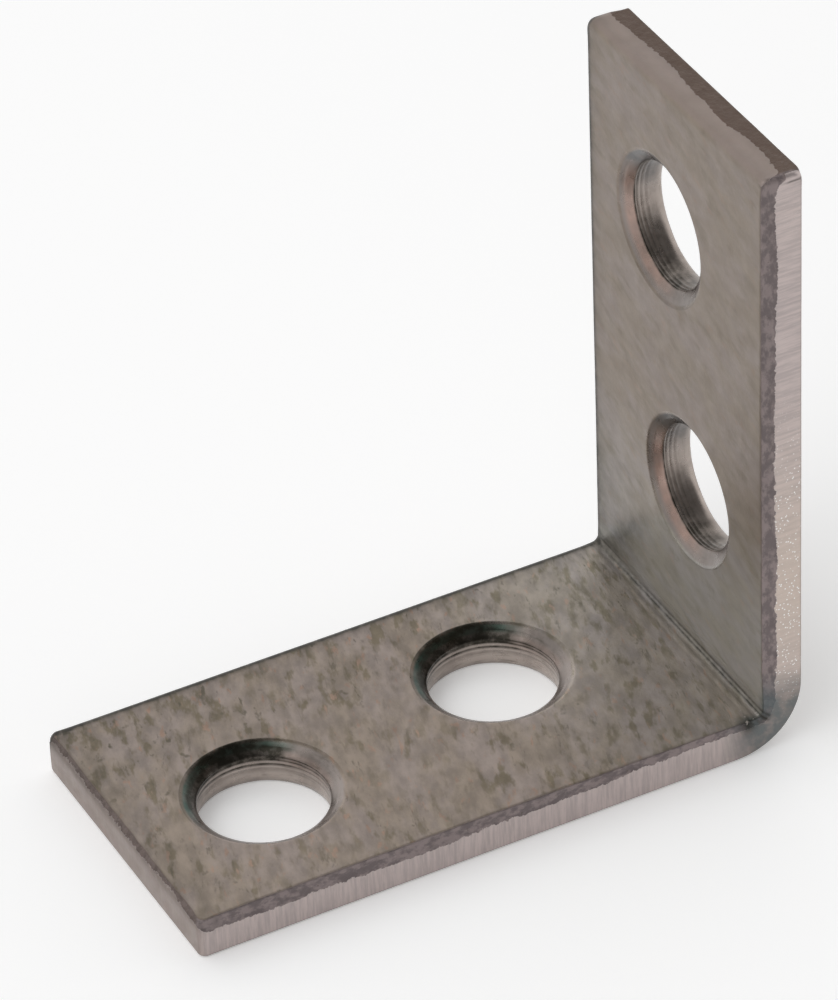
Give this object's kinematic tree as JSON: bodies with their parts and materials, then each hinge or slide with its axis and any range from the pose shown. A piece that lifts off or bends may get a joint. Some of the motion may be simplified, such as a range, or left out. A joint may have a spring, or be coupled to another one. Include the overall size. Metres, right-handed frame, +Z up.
{
  "type": "angle bracket",
  "caption": "Small right-angle corner bracket of zinc-plated sheet steel: two short legs folded from one strip, with staggered countersunk screw holes on the inner faces.",
  "frame": {"origin": "where the planes of the two outer faces meet, at the middle of the strip's width", "axes": "+X along the base leg towards its free end, +Z up along the upright leg, Y across the strip; the base leg's outer face lies on Z = 0 and the upright leg's outer face on X = 0"},
  "size_m": [0.025, 0.0126, 0.0254],
  "materials": {
    "zinc_plate": "satin zinc plate, mottled warm grey"
  },
  "bodies": {
    "root": {"bracket": "zinc_plate"}
  },
  "joints": []
}
